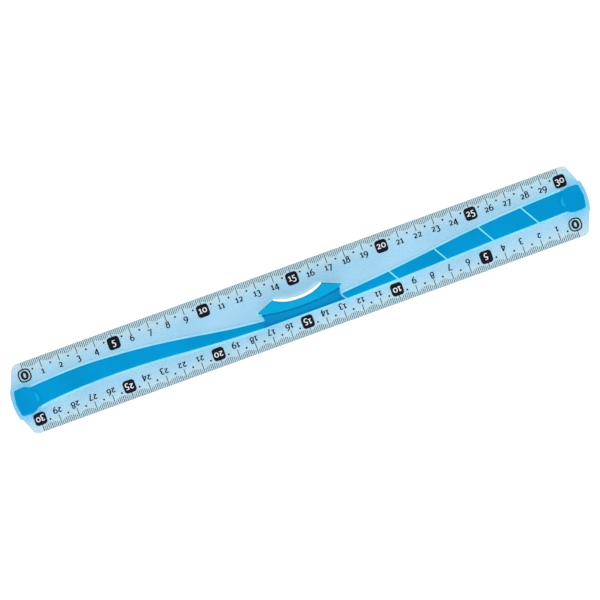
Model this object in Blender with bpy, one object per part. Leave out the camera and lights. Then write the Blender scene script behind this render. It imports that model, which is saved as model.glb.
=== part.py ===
"""Flat double-edged 30 cm ruler with a raised grip: a hard clear body with soft blue pieces moulded into it.

Frame: origin at the middle of the underside, +X along the ruler with the upper scale's numbers growing,
+Y towards the upper scale's edge, +Z up. Lengths are millimetres here, and metres in the meshes.
"""

import math

import bmesh
import bpy

MM = 0.001

# Hard body
HALF_WIDTH = 19.4
HALF_LENGTH = 161.2
PLATE_HEIGHT = 2.4
EDGE_HEIGHT = 1.2
BEVEL_FROM = 8.2  # distance from the centre line where the top starts to slope to the edges
CORNER_X = 155.0  # where the ends' slanting sides would meet the long edges
CORNER_CUT = 2.4
CORNER_KNEE = (0.3, 0.2)  # the cut corner is rounded through here, in shares of the cut
CORNER_SIDE = 0.75
END_SLANT = 0.39
BUMPER_RADIUS = 30.0
BUMPER_ABOVE = 7.8
BUMPER_BELOW = 8.4
BUMPER_STEP_ABOVE = 0.8  # where the bumper steps back to the slanting side
BUMPER_STEP_BELOW = 0.4
BUMPER_STEPS = 10  # straight runs along the bumper's arc
END_SHIFT = 0.9  # the right end's bumper and cap sit this much above the centre line, the left ones below

# Pockets, lip and soft pieces
GAP = 0.3
FLOOR_TOP = 0.8
INLAY_BOTTOM = FLOOR_TOP + GAP
INLAY_TOP = 2.9
CAP_TOP = 3.1
LIP_WIDTH = 0.6
LIP_TOP = 2.7
LIP_BOTTOM = 1.4
LIP_STEP = 0.1  # the foot's lip is this much taller than the strip's, and the caps' lips twice as much
CAP_REACHES = {-1: (6.95, 6.85), 1: (6.45, 6.35)}  # each end's cap above and below its middle
CAP_END_X = 158.7
CAP_SHOULDER_X = 151.6
CAP_CROWN = 0.4  # the cap's end is this much fuller at its middle, and falls back as much at its corners
CAP_CORNER = (1.3, 0.8)
CAP_ARC_X = 146.4  # the middle of the cap's inner arc
CAP_ARC_RISE = 2.9  # how far the arc falls back at the strip's edges
CAP_ARC_STEPS = 8
STRIP_HALF = 5.45  # half the strip's height where it meets a cap

# Strip edges as x, upper y, lower y
STRIP_LEFT = (
    (-152, 4.7, -6.3), (-140, 5.7, -4.6), (-119, 6.4, -3.3), (-99, 5.4, -3.2),
    (-80, 3.6, -4.0), (-60, 0.8, -5.5), (-40, -2.3, -6.7), (-22, -4.3, -7.35),
)
STRIP_RIGHT = (
    (22, -4.45, -7.4), (50, -1.9, -6.9), (71, 0.5, -6.3), (91, 2.9, -5.6),
    (110, 4.7, -4.95), (126, 5.8, -4.6), (152, 7.0, -3.9),
)
RIBS_X = (50.8, 77.8, 103.9, 129.0)
RIB_WIDTH = 0.7
RIB_SLANT = 0.58
STRIP_STEPS = 26  # points along the left band's edges
FIELD_STEPS = 7  # points along each right field's edges
SIDE_STEPS = 6

# Grip
FOOT_FRONT_Y = -7.4
FOOT_FRONT_TOP = 3.0
NECK_X = 20.9
NECK_Y = -4.0
FOOT_FLARE = 1.8  # how much wider the foot is at its front than at the neck
NECK_LEAN = 0.9  # how much wider it is where the crease ends
CREASE_END_Y = -1.0
COVE_SHARES = (0.0, 0.35, 0.65, 1.0)  # places from the foot's front to the crease
COVE_POWER = 1.4
END_FALL = 5.0  # over this length the foot's rise fades out towards its ends
END_POWER = 0.7
FOOT_SIDE_STEPS = 9
FOOT_BACK_STEPS = 16
FOOT_STATIONS = (0.0, 4.0, 8.0, 12.0, 15.0, 17.5, 19.5, 21.0, 22.0, 23.0)
CREASE_MIDDLE_Y = -3.4
CREASE_RISE = 2.1  # how much further back the crease is at the neck
CREASE_Z = 5.2
FOOT_BEHIND_CREASE = 1.5
WING_SLOPE = 0.82
WING_THICK = 3.2
TIP_THICK = 2.2
THIN_FROM = 18.0  # past this half length the wing thins to the tips' thickness
WING_FREE_FROM = 20.0  # past this half length the wing's front stands free of the foot
TIP_X = 23.4
TIP_Y = 0.9
TIP_WIDTH = 0.4
WING_CORNER_X = 14.4
WING_CORNER_Y = 4.6
SCOOP_HALF = 13.6
SCOOP_MIDDLE_Y = 1.0
SCOOP_POWER = 2.5
WING_OVERLAP = 0.6  # how far the wing's root is buried in the foot
SCOOP_STATIONS = (0.0, 4.0, 8.0, 11.5, SCOOP_HALF, WING_CORNER_X)
WING_STATIONS = (*SCOOP_STATIONS, 16.0, THIN_FROM, WING_FREE_FROM, 21.0, TIP_X)
SKIN = 0.8
CORE_HALF_X = 17.5
WEB_FRONT = -0.4  # the fin's web, measured in y from the crease
WEB_BACK = 0.5
WEB_OVERLAP = 0.02  # keeps the web's front off the plate's
WEB_BELOW_TOP = 0.35
WEB_BURIED = 0.4  # how deep the web starts below the pocket's floor
WEB_STEPS = 12

# Finger window
WINDOW_HALF = 13.5
WINDOW_BACK_Y = 5.4
WINDOW_MIDDLE_Y = 2.35
WINDOW_WALL = 0.7  # how far the window's front edge stays behind the grip's pocket
WINDOW_STEPS = 14
WINDOW_FRONT_SHARE = 0.93  # the front edge is this much shorter than the rear one


def material(name, color, roughness, alpha=1.0):
    made = bpy.data.materials.new(name)
    made.use_nodes = True
    shader = made.node_tree.nodes["Principled BSDF"]
    shader.inputs["Base Color"].default_value = (*color, 1.0)
    shader.inputs["Roughness"].default_value = roughness
    shader.inputs["Alpha"].default_value = alpha
    return made


def solid(name, points, faces):
    """A mesh object from points in millimetres, with its normals facing out."""
    mesh = bpy.data.meshes.new(name)
    mesh.from_pydata([(x * MM, y * MM, z * MM) for x, y, z in points], [], faces)
    work = bmesh.new()
    work.from_mesh(mesh)
    bmesh.ops.recalc_face_normals(work, faces=work.faces)
    work.to_mesh(mesh)
    work.free()
    made = bpy.data.objects.new(name, mesh)
    bpy.context.scene.collection.objects.link(made)
    return made


def prism(name, outline, low, high):
    """An upright solid over a closed outline of (x, y) points."""
    count = len(outline)
    points = [(x, y, low) for x, y in outline] + [(x, y, high) for x, y in outline]
    sides = [(i, (i + 1) % count, (i + 1) % count + count, i + count) for i in range(count)]
    return solid(name, points, [tuple(range(count)), tuple(range(count, 2 * count)), *sides])


def loft(name, stations):
    """A solid through cross-sections: (x, [(y, z), ...]), each with the same number of points."""
    count = len(stations[0][1])
    points = [(x, y, z) for x, section in stations for y, z in section]
    faces = [tuple(range(count)), tuple(range(len(points) - count, len(points)))]
    for s in range(len(stations) - 1):
        for i in range(count):
            j = (i + 1) % count
            faces.append((s * count + i, s * count + j, (s + 1) * count + j, (s + 1) * count + i))
    return solid(name, points, faces)


def helper(made):
    made.hide_render = True
    made.display_type = "WIRE"
    return made


def boolean(target, operation, other):
    modifier = target.modifiers.new(f"{operation.lower()} {other.name}", "BOOLEAN")
    modifier.operation = operation
    modifier.solver = "EXACT"
    modifier.object = helper(other)


def offset_outline(outline, distance):
    """The closed outline moved outwards by distance, whichever way round it runs."""
    area = sum(a[0] * b[1] - b[0] * a[1] for a, b in zip(outline, outline[1:] + outline[:1]))
    side = math.copysign(distance, area)
    moved = []
    for before, here, after in zip(outline[-1:] + outline[:-1], outline, outline[1:] + outline[:1]):
        normals = []
        for start, end in ((before, here), (here, after)):
            length = math.dist(start, end)
            normals.append(((end[1] - start[1]) / length, (start[0] - end[0]) / length))
        (ax, ay), (bx, by) = normals
        mitre = side / max(1 + ax * bx + ay * by, 0.5)
        moved.append((here[0] + (ax + bx) * mitre, here[1] + (ay + by) * mitre))
    return moved


def spread(start, end, count):
    return [start + (end - start) * i / count for i in range(count + 1)]


def smooth(rows, column):
    """A smooth curve y(x) through one column of rows whose first column is x."""
    xs = [row[0] for row in rows]
    ys = [row[column] for row in rows]
    last = len(rows) - 1
    slopes = [
        (ys[min(i + 1, last)] - ys[max(i - 1, 0)]) / (xs[min(i + 1, last)] - xs[max(i - 1, 0)])
        for i in range(last + 1)
    ]

    def curve(x):
        i = max(0, min(last - 1, sum(x >= known for known in xs) - 1))
        span = xs[i + 1] - xs[i]
        t = (x - xs[i]) / span
        return (
            (1 + 2 * t) * (1 - t) ** 2 * ys[i] + t * (1 - t) ** 2 * span * slopes[i]
            + t * t * (3 - 2 * t) * ys[i + 1] - t * t * (1 - t) * span * slopes[i + 1]
        )

    return curve


def end_slant_x(y):
    return CORNER_X + END_SLANT * (HALF_WIDTH - abs(y))


def bumper_x(rise):
    """The end of the body at a height above the middle of its bumper."""
    return HALF_LENGTH - rise * rise / (2 * BUMPER_RADIUS)


def end_outline(side):
    """One end of the body from its upper corner to its lower one.

    side is 1 on the right and -1 on the left.
    """
    middle = side * END_SHIFT
    side_y = HALF_WIDTH - CORNER_CUT * CORNER_SIDE
    knee = (CORNER_X - CORNER_CUT * CORNER_KNEE[0], HALF_WIDTH - CORNER_CUT * CORNER_KNEE[1])
    corner = [(CORNER_X - CORNER_CUT, HALF_WIDTH), knee, (end_slant_x(side_y), side_y)]
    step_above = middle + BUMPER_ABOVE + BUMPER_STEP_ABOVE
    step_below = middle - BUMPER_BELOW - BUMPER_STEP_BELOW
    bumper = [(bumper_x(rise), middle + rise) for rise in spread(BUMPER_ABOVE, -BUMPER_BELOW, BUMPER_STEPS)]
    points = [
        *corner, (end_slant_x(step_above), step_above), *bumper, (end_slant_x(step_below), step_below),
        *((x, -y) for x, y in reversed(corner)),
    ]
    return [(side * x, y) for x, y in points]


def cap_arc_x(side, y):
    """The cap's inner edge, which bulges towards the middle of the ruler."""
    return side * (CAP_ARC_X + CAP_ARC_RISE * ((y - side * END_SHIFT) / STRIP_HALF) ** 2)


def cap_outline(side):
    """A cap: its inner arc, a shoulder above and below, and a slightly crowned outer end."""
    middle = side * END_SHIFT
    above, below = CAP_REACHES[side]
    rises = spread(-STRIP_HALF, STRIP_HALF, CAP_ARC_STEPS)
    inner = [(abs(cap_arc_x(side, middle + rise)), rise) for rise in rises]
    cut_x, cut_y = CAP_CORNER
    corner_x, end_x = CAP_END_X - cut_x, CAP_END_X - CAP_CROWN
    top = [(CAP_SHOULDER_X, above), (corner_x, above), (end_x, above - cut_y)]
    bottom = [(end_x, cut_y - below), (corner_x, -below), (CAP_SHOULDER_X, -below)]
    points = [*inner, *top, (CAP_END_X + CAP_CROWN, 0.0), *bottom]
    return [(side * x, middle + rise) for x, rise in points]


def neck_x(y):
    """Half the width of the grip's foot, which is narrowest at the neck."""
    if y < NECK_Y:
        return NECK_X + FOOT_FLARE * ((NECK_Y - y) / (NECK_Y - FOOT_FRONT_Y)) ** 2
    return NECK_X + NECK_LEAN * ((y - NECK_Y) / (CREASE_END_Y - NECK_Y)) ** 2


def crease_y(x):
    return CREASE_MIDDLE_Y + CREASE_RISE * (x / NECK_X) ** 2


def rib_x(middle_x, offset):
    """A slanting line across the strip, as a function x(y)."""
    upper, lower = smooth(STRIP_RIGHT, 1), smooth(STRIP_RIGHT, 2)
    middle_y = (upper(middle_x) + lower(middle_x)) / 2
    return lambda y: middle_x + offset - RIB_SLANT * (y - middle_y)


def where_cut(cut, edge, guess):
    """The point where the line x(y) meets the strip's edge y(x)."""
    x = guess
    for _ in range(20):
        x = (x + cut(edge(x))) / 2
    return x, edge(x)


def strip_field(rows, left_cut, right_cut, left_guess, right_guess, steps):
    """The outline between the strip's edges and two lines x(y) that cross it."""
    upper, lower = smooth(rows, 1), smooth(rows, 2)
    corners = [
        where_cut(cut, edge, guess)
        for cut, guess in ((left_cut, left_guess), (right_cut, right_guess))
        for edge in (upper, lower)
    ]
    (top_left, low_left, top_right, low_right) = corners
    outline = [(x, upper(x)) for x in spread(top_left[0], top_right[0], steps)]
    outline += [(right_cut(y), y) for y in spread(top_right[1], low_right[1], SIDE_STEPS)[1:-1]]
    outline += [(x, lower(x)) for x in spread(low_right[0], low_left[0], steps)]
    outline += [(left_cut(y), y) for y in spread(low_left[1], top_left[1], SIDE_STEPS)[1:-1]]
    return outline


def inlay_outlines():
    """The soft band's pieces by name, without the caps and the grip."""
    left_start, left_end = lambda y: cap_arc_x(-1, y) + GAP, lambda y: -neck_x(y) - GAP
    fields = {"left_inlay": strip_field(STRIP_LEFT, left_start, left_end, -CAP_ARC_X, -NECK_X, STRIP_STEPS)}
    gap_and_rib = RIB_WIDTH / 2 + GAP
    starts = [lambda y: neck_x(y) + 2 * gap_and_rib] + [rib_x(x, gap_and_rib) for x in RIBS_X]
    ends = [rib_x(x, -gap_and_rib) for x in RIBS_X] + [lambda y: cap_arc_x(1, y) - GAP]
    near = (NECK_X, *RIBS_X, CAP_ARC_X)
    for i, (start, end) in enumerate(zip(starts, ends)):
        field = strip_field(STRIP_RIGHT, start, end, near[i], near[i + 1], FIELD_STEPS)
        fields[f"right_inlay_{i + 1}"] = field
    return fields


def foot_back_y(x):
    """The foot's rear edge, hidden under the wing."""
    return crease_y(x) + FOOT_BEHIND_CREASE


def foot_outline():
    """The foot as seen from above."""
    sides = [(neck_x(y), y) for y in spread(FOOT_FRONT_Y, CREASE_END_Y, FOOT_SIDE_STEPS)]
    back_end = NECK_X - TIP_WIDTH
    back = [(x, foot_back_y(x)) for x in spread(back_end, -back_end, FOOT_BACK_STEPS)]
    return sides + back + [(-x, y) for x, y in reversed(sides)]


def foot_station(x):
    """A section of the foot: level with the strip at its front edge, rising in a cove to the crease."""
    back = foot_back_y(x)
    inside = min(1.0, max(0.0, (NECK_X + FOOT_FLARE - abs(x)) / END_FALL))
    height = (CREASE_Z - FOOT_FRONT_TOP) * inside**END_POWER
    section = [(back, INLAY_BOTTOM), (FOOT_FRONT_Y, INLAY_BOTTOM)]
    for share in COVE_SHARES:
        y = FOOT_FRONT_Y + share * (crease_y(x) - FOOT_FRONT_Y)
        section.append((y, FOOT_FRONT_TOP + height * share**COVE_POWER))
    section.append((back, FOOT_FRONT_TOP + height))
    return x, section


def wing_top(x, y):
    return CREASE_Z + WING_SLOPE * (y - crease_y(x))


def wing_front_y(x):
    """The wing's front: buried in the foot, and free where the tips stand out past the neck."""
    if abs(x) <= WING_FREE_FROM:
        return crease_y(x) - WING_OVERLAP
    share = (abs(x) - WING_FREE_FROM) / (TIP_X - WING_FREE_FROM)
    root = crease_y(WING_FREE_FROM) - WING_OVERLAP
    return root + (TIP_Y - TIP_WIDTH - root) * share


def wing_back_y(x):
    """The wing's rear edge: the finger scoop, a corner, and a straight run to the tip."""
    if abs(x) <= SCOOP_HALF:
        return SCOOP_MIDDLE_Y + (WING_CORNER_Y - SCOOP_MIDDLE_Y) * (abs(x) / SCOOP_HALF) ** SCOOP_POWER
    share = max(0.0, (abs(x) - WING_CORNER_X) / (TIP_X - WING_CORNER_X))
    return WING_CORNER_Y + (TIP_Y - WING_CORNER_Y) * share


def slanted_station(x, front, back, down, thick):
    """A section of a plate that lies a given depth under the wing's top."""
    upper = [(y, wing_top(x, y) - down) for y in (front, back)]
    return x, upper + [(y, z - thick) for y, z in reversed(upper)]


def wing_thick(x):
    share = min(1.0, max(0.0, (abs(x) - THIN_FROM) / (NECK_X - THIN_FROM)))
    return WING_THICK + (TIP_THICK - WING_THICK) * share


def mirrored(values):
    return [-x for x in reversed(values)] + [x for x in values if x > 0]


def grip_shape():
    """The wing and the foot joined, as one solid."""
    foot = loft("grip", [foot_station(x) for x in mirrored(FOOT_STATIONS)])
    boolean(foot, "INTERSECT", prism("foot_sides", foot_outline(), 0.0, 2 * CREASE_Z))
    stations = []
    for x in mirrored(WING_STATIONS):
        stations.append(slanted_station(x, wing_front_y(x), wing_back_y(x), 0.0, wing_thick(x)))
    wing = loft("grip_wing", stations)
    boolean(foot, "UNION", wing)
    return foot


def fin_shapes(grow):
    """The fin that stiffens the grip, as an upright web and a slanted plate, grown all round by grow."""
    down = SKIN + GAP - grow
    thick = WING_THICK - 2 * down
    stations = []
    for x in mirrored((*SCOOP_STATIONS, CORE_HALF_X + grow)):
        front = crease_y(x) + WEB_FRONT - grow
        back = wing_back_y(x) - SKIN - GAP + grow
        stations.append(slanted_station(x, front, back, down, thick))
    plate = loft(f"fin_plate_{grow:g}", stations)
    line = spread(-CORE_HALF_X - grow, CORE_HALF_X + grow, WEB_STEPS)
    outline = [(x, crease_y(x) + WEB_FRONT - grow - WEB_OVERLAP) for x in line]
    outline += [(x, crease_y(x) + WEB_BACK + grow) for x in reversed(line)]
    web_top = wing_top(0, CREASE_MIDDLE_Y + WEB_FRONT) - SKIN - GAP - WEB_BELOW_TOP
    return plate, prism(f"fin_web_{grow:g}", outline, FLOOR_TOP - WEB_BURIED - grow, web_top)


def window_outline():
    """The finger window: its rear edge is a shallower arc than the wing's scoop."""
    line = spread(-WINDOW_HALF, WINDOW_HALF, WINDOW_STEPS)
    rise = WINDOW_BACK_Y - WINDOW_MIDDLE_Y
    back = [(x, WINDOW_MIDDLE_Y + rise * (x / WINDOW_HALF) ** 2) for x in line]
    front_line = [WINDOW_FRONT_SHARE * x for x in reversed(line)]
    return back + [(x, foot_back_y(x) + GAP + WINDOW_WALL) for x in front_line]


def ruler_body(outlines):
    """The hard clear body: plate, lip, pockets, window and fin."""
    right = end_outline(1)
    left = end_outline(-1)
    section = (
        (HALF_WIDTH + 1, 0.0), (-HALF_WIDTH - 1, 0.0), (-HALF_WIDTH, EDGE_HEIGHT),
        (-BEVEL_FROM, PLATE_HEIGHT), (BEVEL_FROM, PLATE_HEIGHT), (HALF_WIDTH, EDGE_HEIGHT),
    )
    body = prism("ruler_body", right + left[::-1], 0.0, 2 * PLATE_HEIGHT)
    bevelled = loft("bevelled_section", [(x, section) for x in (-HALF_LENGTH - 2, HALF_LENGTH + 2)])
    boolean(body, "INTERSECT", bevelled)

    reach = GAP + LIP_WIDTH
    strip = STRIP_LEFT + STRIP_RIGHT
    start, end = lambda y: -CAP_SHOULDER_X, lambda y: CAP_SHOULDER_X
    pads = (
        ("strip", strip_field(strip, start, end, -CAP_ARC_X, CAP_ARC_X, 2 * STRIP_STEPS), 0.0),
        ("foot", foot_outline(), LIP_STEP),
        ("left_cap", cap_outline(-1), 2 * LIP_STEP),
        ("right_cap", cap_outline(1), 2 * LIP_STEP),
    )
    for name, outline, step in pads:
        pad = prism(f"{name}_lip", offset_outline(outline, reach), LIP_BOTTOM - step, LIP_TOP + step)
        boolean(body, "UNION", pad)
    for name, outline in outlines.items():
        pocket = prism(f"{name}_pocket", offset_outline(outline, GAP), FLOOR_TOP, 2 * PLATE_HEIGHT)
        boolean(body, "DIFFERENCE", pocket)
    boolean(body, "DIFFERENCE", prism("finger_window", window_outline(), -1.0, 2 * PLATE_HEIGHT))
    for shape in fin_shapes(0.0):
        boolean(body, "UNION", shape)
    return body


def build():
    for old in list(bpy.data.objects):
        bpy.data.objects.remove(old, do_unlink=True)
    clear = material("clear_blue_plastic", (0.62, 0.80, 0.90), 0.12, alpha=0.45)
    soft = material("soft_blue_rubber", (0.01, 0.31, 0.66), 0.42)
    glossy = material("grip_blue_rubber", (0.005, 0.38, 0.76), 0.38)
    frame = bpy.data.objects.new("ruler_frame", None)
    bpy.context.scene.collection.objects.link(frame)

    outlines = {"left_end_cap": cap_outline(-1), **inlay_outlines(), "right_end_cap": cap_outline(1)}
    pieces = []
    for name, outline in outlines.items():
        top = CAP_TOP if name.endswith("cap") else INLAY_TOP
        pieces.append((prism(name, outline, INLAY_BOTTOM, top), soft))

    grip = grip_shape()
    for shape in fin_shapes(GAP):
        boolean(grip, "DIFFERENCE", shape)
    pieces.append((grip, glossy))
    pieces.append((ruler_body({**outlines, "grip": foot_outline()}), clear))

    for piece, finish in pieces:
        piece.data.materials.append(finish)
        piece.parent = frame


build()
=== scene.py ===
"""The looks of a flat double-edged 30 cm ruler: clear blue body, soft blue inlays and grip, printed scales.

Lengths are millimetres here, and metres in the meshes. +X runs along the ruler with the upper scale's
numbers growing, +Y points to the upper scale's edge, and +Z is up.
"""

import math

import bmesh
import bpy
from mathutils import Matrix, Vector


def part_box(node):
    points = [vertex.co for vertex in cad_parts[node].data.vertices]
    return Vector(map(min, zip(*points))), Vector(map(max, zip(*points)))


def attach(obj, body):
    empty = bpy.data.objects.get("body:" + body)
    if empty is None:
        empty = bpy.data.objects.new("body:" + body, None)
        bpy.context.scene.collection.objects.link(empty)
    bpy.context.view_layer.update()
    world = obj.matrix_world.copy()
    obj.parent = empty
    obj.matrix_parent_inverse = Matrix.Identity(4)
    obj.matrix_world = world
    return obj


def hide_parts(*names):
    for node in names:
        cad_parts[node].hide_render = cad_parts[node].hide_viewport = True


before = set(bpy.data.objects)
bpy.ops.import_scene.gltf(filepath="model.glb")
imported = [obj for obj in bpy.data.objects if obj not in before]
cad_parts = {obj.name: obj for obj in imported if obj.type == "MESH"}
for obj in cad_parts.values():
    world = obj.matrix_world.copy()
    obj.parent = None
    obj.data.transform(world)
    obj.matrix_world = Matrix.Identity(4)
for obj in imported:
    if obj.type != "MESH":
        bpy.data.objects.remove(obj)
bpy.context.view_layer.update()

MM = 0.001
BODY = "root"
CAPS = ("left_end_cap", "right_end_cap")

# Body, as in the CAD model
HALF_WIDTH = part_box("ruler_body")[1].y / MM
PLATE_HEIGHT = 2.4
EDGE_HEIGHT = 1.2
BEVEL_FROM = 8.2
POCKET_FLOOR = 0.8
END_SHIFT = 0.9
CAP_CENTRE_X = 153.0
CAP_ARC_X = 146.4  # the middle of a cap's inner arc
CAP_ARC_RISE = 2.9
STRIP_HALF = 5.45  # half the band's width where it meets a cap
PLATE_ROUNDING = 0.22

# Soft pieces, grown from their CAD outlines to fill their pockets
GROWTH = 0.148
PLAY = 0.04  # between a soft piece and its pocket
SOFT_BOTTOM = POCKET_FLOOR + 0.02
SOFT_ROUNDING = 0.75
SEAM_ROUNDING = 0.07  # the share of the rounding that is left where two soft pieces meet
SEAM_WIDTH = 0.2  # past this distance from the seam the rounding grows back
SEAM_FADE = 1.6

# Outlines
CORNER_TURN = 0.6  # radians: a corner that turns less isn't rounded
CORNER_SHARE = 0.45  # the most of a side that a corner's arc takes
MITRE_LIMIT = 0.5  # keeps a grown outline's sharpest corners short
SHARP_TURN = math.radians(50)  # a curve through points keeps a corner that turns more
STRAIGHT_RATIO = 2.5  # and keeps a run straight that is this much longer than the next
OUTLINE_STEP = 1.0

# Lips round the pockets
LIP_REACH = 1.25
LIP_BOTTOM = 2.41
LIP_TOP = 2.72
LIP_ROUNDING = 0.25
LIP_CORNER = 0.8
RIM_BOTTOM = 1.0  # inside the plate, where the caps' rims and the lips' cutters start
CUTTER_BOTTOM = -1.0  # under the plate
CUTTER_TOP = 4.0  # above the plate and the lips

# Right fields, as a straight middle line and a half width that grow along x from their values at x = 0
FIELDS_MIDDLE_Y = -7.63
FIELDS_LEAN = 0.0646
FIELDS_HALF = 0.8
FIELDS_SPREAD = 0.0352

# Grip, as in the CAD model
GRIP_LOW, GRIP_HIGH = (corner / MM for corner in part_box("grip"))
NECK_X = 20.9
NECK_Y = -4.0
FOOT_FLARE = 1.8
NECK_LEAN = 0.9
CREASE_END_Y = -1.0
FOOT_FRONT_TOP = 3.0
FOOT_RISE = 2.2
COVE_POWER = 1.4
END_FALL = 5.0
END_POWER = 0.7
CREASE_MIDDLE_Y = -3.4
CREASE_RISE = 2.1
CREASE_Z = 5.2
FOOT_BEHIND_CREASE = 1.5
WING_SLOPE = 0.82
WING_THICK = 3.2
TIP_THICK = 2.2
THIN_FROM = 18.0
TIP_X = 23.4
TIP_Y = 0.9
WING_FREE_FROM = 20.0
WING_CORNER_X = 14.4
SCOOP_HALF = 13.6
SCOOP_MIDDLE_Y = 1.0
SCOOP_POWER = 2.5

# Grip, finer than in the CAD model
TIP_FRONT_Y = 0.5
GROOVE_FRONT = -0.14  # the crease's groove, measured in y from the crease
GROOVE_BACK = 0.14
GROOVE_DEPTH = 0.35
ROOT_FRONT = -0.6  # the root's front, measured in y from the crease
ROOT_INSET = 0.4
GRIP_ROUNDING = 1.15
FOOT_ROUNDING = 0.3
WING_UNDER_ROUNDING = 0.35
WING_CORNER_RADIUS = 0.5
WING_CORNER_TURN = 0.3
TIP_ROUNDING = (0.12, 0.6, 3.2)  # least share of the rounding, its start past the tip, its growth's length
NECK_STEP = 0.5
CREASE_STEP = 1.0
SCOOP_STEP = 0.9
GRID_SIZE = 0.6
GRID_INSET = 0.4
GRID_PAST_CREASE = 0.5
GRID_PAST_NECK = 2.0

# Finger window, as in the CAD model
WINDOW_HALF = 13.5
WINDOW_MIDDLE_Y = 2.35
WINDOW_BACK_Y = 5.4
WINDOW_CORNER = 0.4

# Print
SCALE_MM = 300
INK_LIFT = 0.008
INK_THICK = 0.03
TICK_START = 19.12
TICK_WIDTH = 0.31
CM_TICK_WIDTH = 0.36
SHORT_TICK = 2.3
LONG_TICK = 3.5
CM_TICK_END = 13.4
BOXED_TICK_END = 15.5
DOT_Y = 14.1
DOT_RADIUS = 0.52
BOX_SIZE = (6.6, 6.8)
BOX_Y = 12.15
BOX_CORNER = 1.7
NUMBER_BASE_Y = 9.8
NUMBER_HEIGHT = 2.6
BOX_NUMBER_HEIGHT = 2.65
BOX_NUMBER_BASE_Y = 11.0
PEN = (0.18, 0.255)  # how thick the pen is across and up, in units of the low digits' height
BOX_PEN = (0.155, 0.215)
FEW_POINTS = 8
GLYPH_SPACE = 0.09
ZERO_Y = 12.1
ZERO_RING = (3.55, 3.6)
ZERO_RING_LINE = 0.68
RING_POWER = 2.6
DISC_GAP = 0.03
ZERO_OVAL = (2.05, 2.4)
ZERO_POWER = 2.1
ZERO_HOLE = (0.74, 1.38)

# Where colours change within a material: a pair is where a fade starts and ends
PAINTED_CAP_GLOW = (6.0, 13.5)  # from a cap's middle: a painted blue glow of the caps in the clear plate
GLOW_SIDES = (10.0, 15.0)  # from the ruler's middle, where the painted pale glow behind the window turns into the one beside the wing
GLOW_REACH = (3.0, 1.5)  # how wide the painted pale glow is behind the window and beside the wing
GLOW_END = 1.5  # past the wing's tips
RIB_FADE = (-0.3, 0.4)  # from the fields' edges
ARC_HIGHLIGHT_RISE = (0.1, 0.8)  # outwards from a cap's inner arc, for its painted highlight
ARC_HIGHLIGHT_FALL = (0.9, 2.2)
ARC_HIGHLIGHT_HALF = (1.0, 3.4)  # half widths across the arc
ARC_HIGHLIGHT_MOST = 0.8
CREASE_SHADE_FADE = (0.1, 0.9)  # from the crease, for its painted shade
CREASE_SHADE_MOST = 0.85
FRONT_SHADE_FADE = 2.6  # from the foot's front edge, for its painted shade

# Floor and light
FLOOR_HALF = 4.0
FLOOR_DROP = 0.0002
FLOOR_GLOW = 0.9
CEILING = (0.84, 0.97, 0.8, 0.3)  # cosines where the ceiling starts and is full, then the light at each
KEY_LIGHT = ((-0.35, -0.75, 0.62), 0.72, 0.98, 0.0, 1.3)  # its direction, then the same four numbers

# Camera: straight above, with the ruler turned in the picture
CAMERA_HEIGHT = 2.5
CAMERA_TURN = math.radians(-19.945)
VIEW_WIDTH = 0.3165
SENSOR_WIDTH = 36.0


# Outlines ------------------------------------------------------------------------------------------------


def signed_area(outline):
    pairs = zip(outline, outline[1:] + outline[:1])
    return sum(a[0] * b[1] - b[0] * a[1] for a, b in pairs) / 2


def flat_outlines(node, level):
    """The closed outlines of a CAD node's flat faces at one height, largest first, counter-clockwise."""
    work = bmesh.new()
    work.from_mesh(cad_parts[node].data)
    bmesh.ops.remove_doubles(work, verts=work.verts, dist=1e-6)
    work.faces.index_update()
    chosen = {face.index for face in work.faces if all(abs(v.co.z / MM - level) < 0.01 for v in face.verts)}
    following = {}
    for face in work.faces:
        if face.index not in chosen:
            continue
        for corner in face.loops:
            if sum(other.index in chosen for other in corner.edge.link_faces) == 1:
                following[corner.vert] = corner.link_loop_next.vert
    outlines = []
    while following:
        start, here = following.popitem()
        found = [start]
        while here != start:
            found.append(here)
            here = following.pop(here)
        outline = [(v.co.x / MM, v.co.y / MM) for v in found]
        outlines.append(outline if signed_area(outline) > 0 else outline[::-1])
    work.free()
    return sorted(outlines, key=signed_area, reverse=True)


def smooth_outline(outline):
    """A closed smooth curve through the outline's points that keeps its sharp corners and straight runs."""
    points = [Vector(point) for point in outline]
    count = len(points)
    edges = [points[(i + 1) % count] - points[i] for i in range(count)]
    arrive, leave = [], []
    for i in range(count):
        before, after = edges[i - 1], edges[i]
        if before.angle(after) > SHARP_TURN:
            arrive.append(before.normalized())
            leave.append(after.normalized())
            continue
        longer, shorter = (before, after) if before.length > after.length else (after, before)
        if longer.length > STRAIGHT_RATIO * shorter.length:
            middle = longer.normalized()
        else:
            middle = (before.normalized() * after.length + after.normalized() * before.length).normalized()
        arrive.append(middle)
        leave.append(middle)
    curve = []
    for i, edge in enumerate(edges):
        j = (i + 1) % count
        parts = max(1, math.ceil(edge.length / OUTLINE_STEP))
        for part in range(parts):
            t = part / parts
            point = (
                points[i] * (1 + 2 * t) * (1 - t) ** 2 + leave[i] * edge.length * t * (1 - t) ** 2
                + points[j] * t * t * (3 - 2 * t) - arrive[j] * edge.length * t * t * (1 - t)
            )
            curve.append(tuple(point))
    return curve


def rounded(outline, radius, turn=CORNER_TURN):
    """The outline with each corner that turns more than turn (radians) replaced by a small arc."""
    made = []
    for before, here, after in zip(outline[-1:] + outline[:-1], outline, outline[1:] + outline[:1]):
        before, here, after = Vector(before), Vector(here), Vector(after)
        one, two = before - here, after - here
        if math.pi - one.angle(two) < turn:
            made.append(tuple(here))
            continue
        start = here + one.normalized() * min(radius, CORNER_SHARE * one.length)
        end = here + two.normalized() * min(radius, CORNER_SHARE * two.length)
        for share in (0.0, 0.25, 0.5, 0.75, 1.0):
            low, high = start.lerp(here, share), here.lerp(end, share)
            made.append(tuple(low.lerp(high, share)))
    return made


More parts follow.
